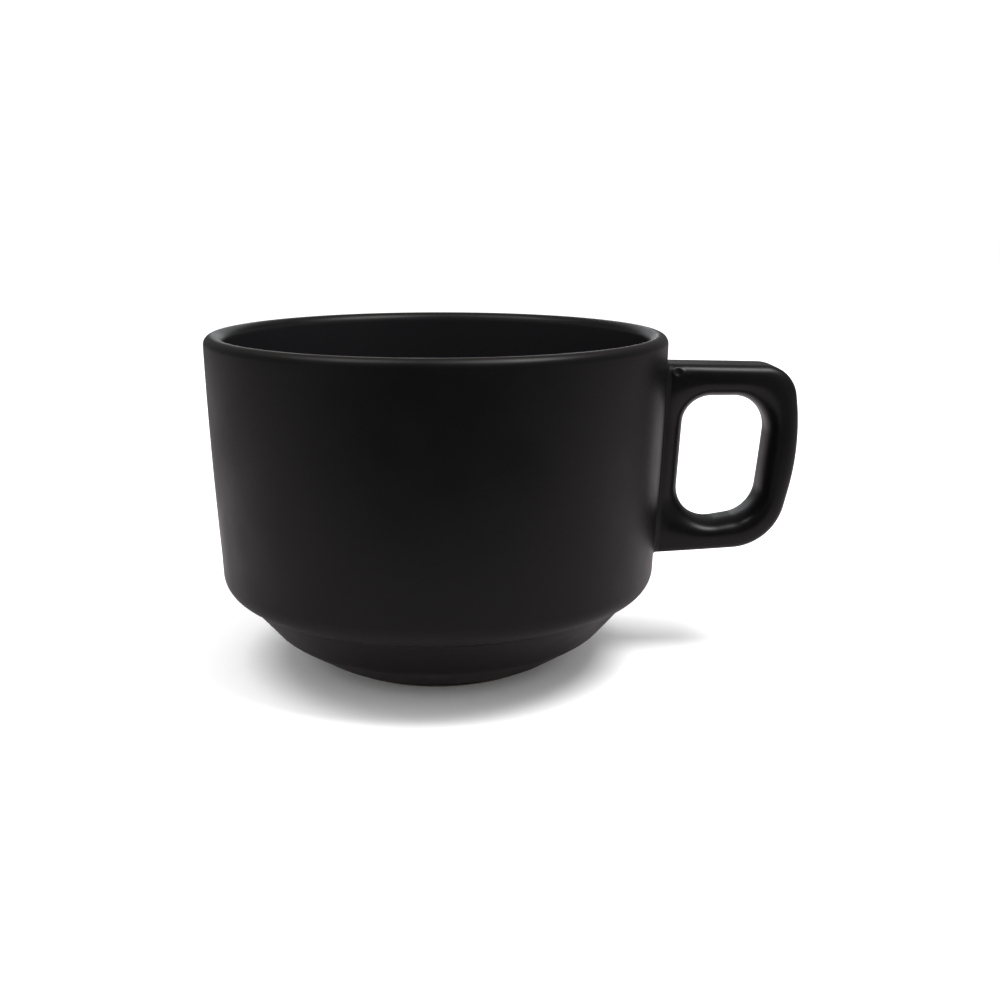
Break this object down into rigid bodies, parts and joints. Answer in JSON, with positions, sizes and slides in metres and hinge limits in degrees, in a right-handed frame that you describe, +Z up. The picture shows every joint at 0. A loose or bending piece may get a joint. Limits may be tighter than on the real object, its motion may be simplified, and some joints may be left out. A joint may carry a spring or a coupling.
{
  "type": "stacking coffee cup",
  "caption": "Low straight-walled stacking coffee cup in satin black glazed stoneware, with a stepped lower bowl, a foot ring and a rounded-square cast loop handle.",
  "frame": {"origin": "middle of the whole cup's bounding box at the plane it stands on; the turned body's own axis is the vertical line x = -0.01344 m, y = 0", "axes": "+X from the body's axis towards the handle, +Y to the left when looking along +X, +Z up along the body's axis, from the foot to the lip"},
  "size_m": [0.1168, 0.09, 0.0657],
  "materials": {
    "body_glaze": "satin matte black glaze",
    "foot_clay": "bare fired stoneware on the standing land, black glaze on the flanks",
    "handle_glaze": "satin matte black glaze",
    "slip_glaze": "satin matte black glaze over luting slip"
  },
  "bodies": {
    "root": {"cup_body": "body_glaze", "foot_ring": "foot_clay", "handle": "handle_glaze", "handle_slip_joint": "slip_glaze"}
  },
  "joints": []
}
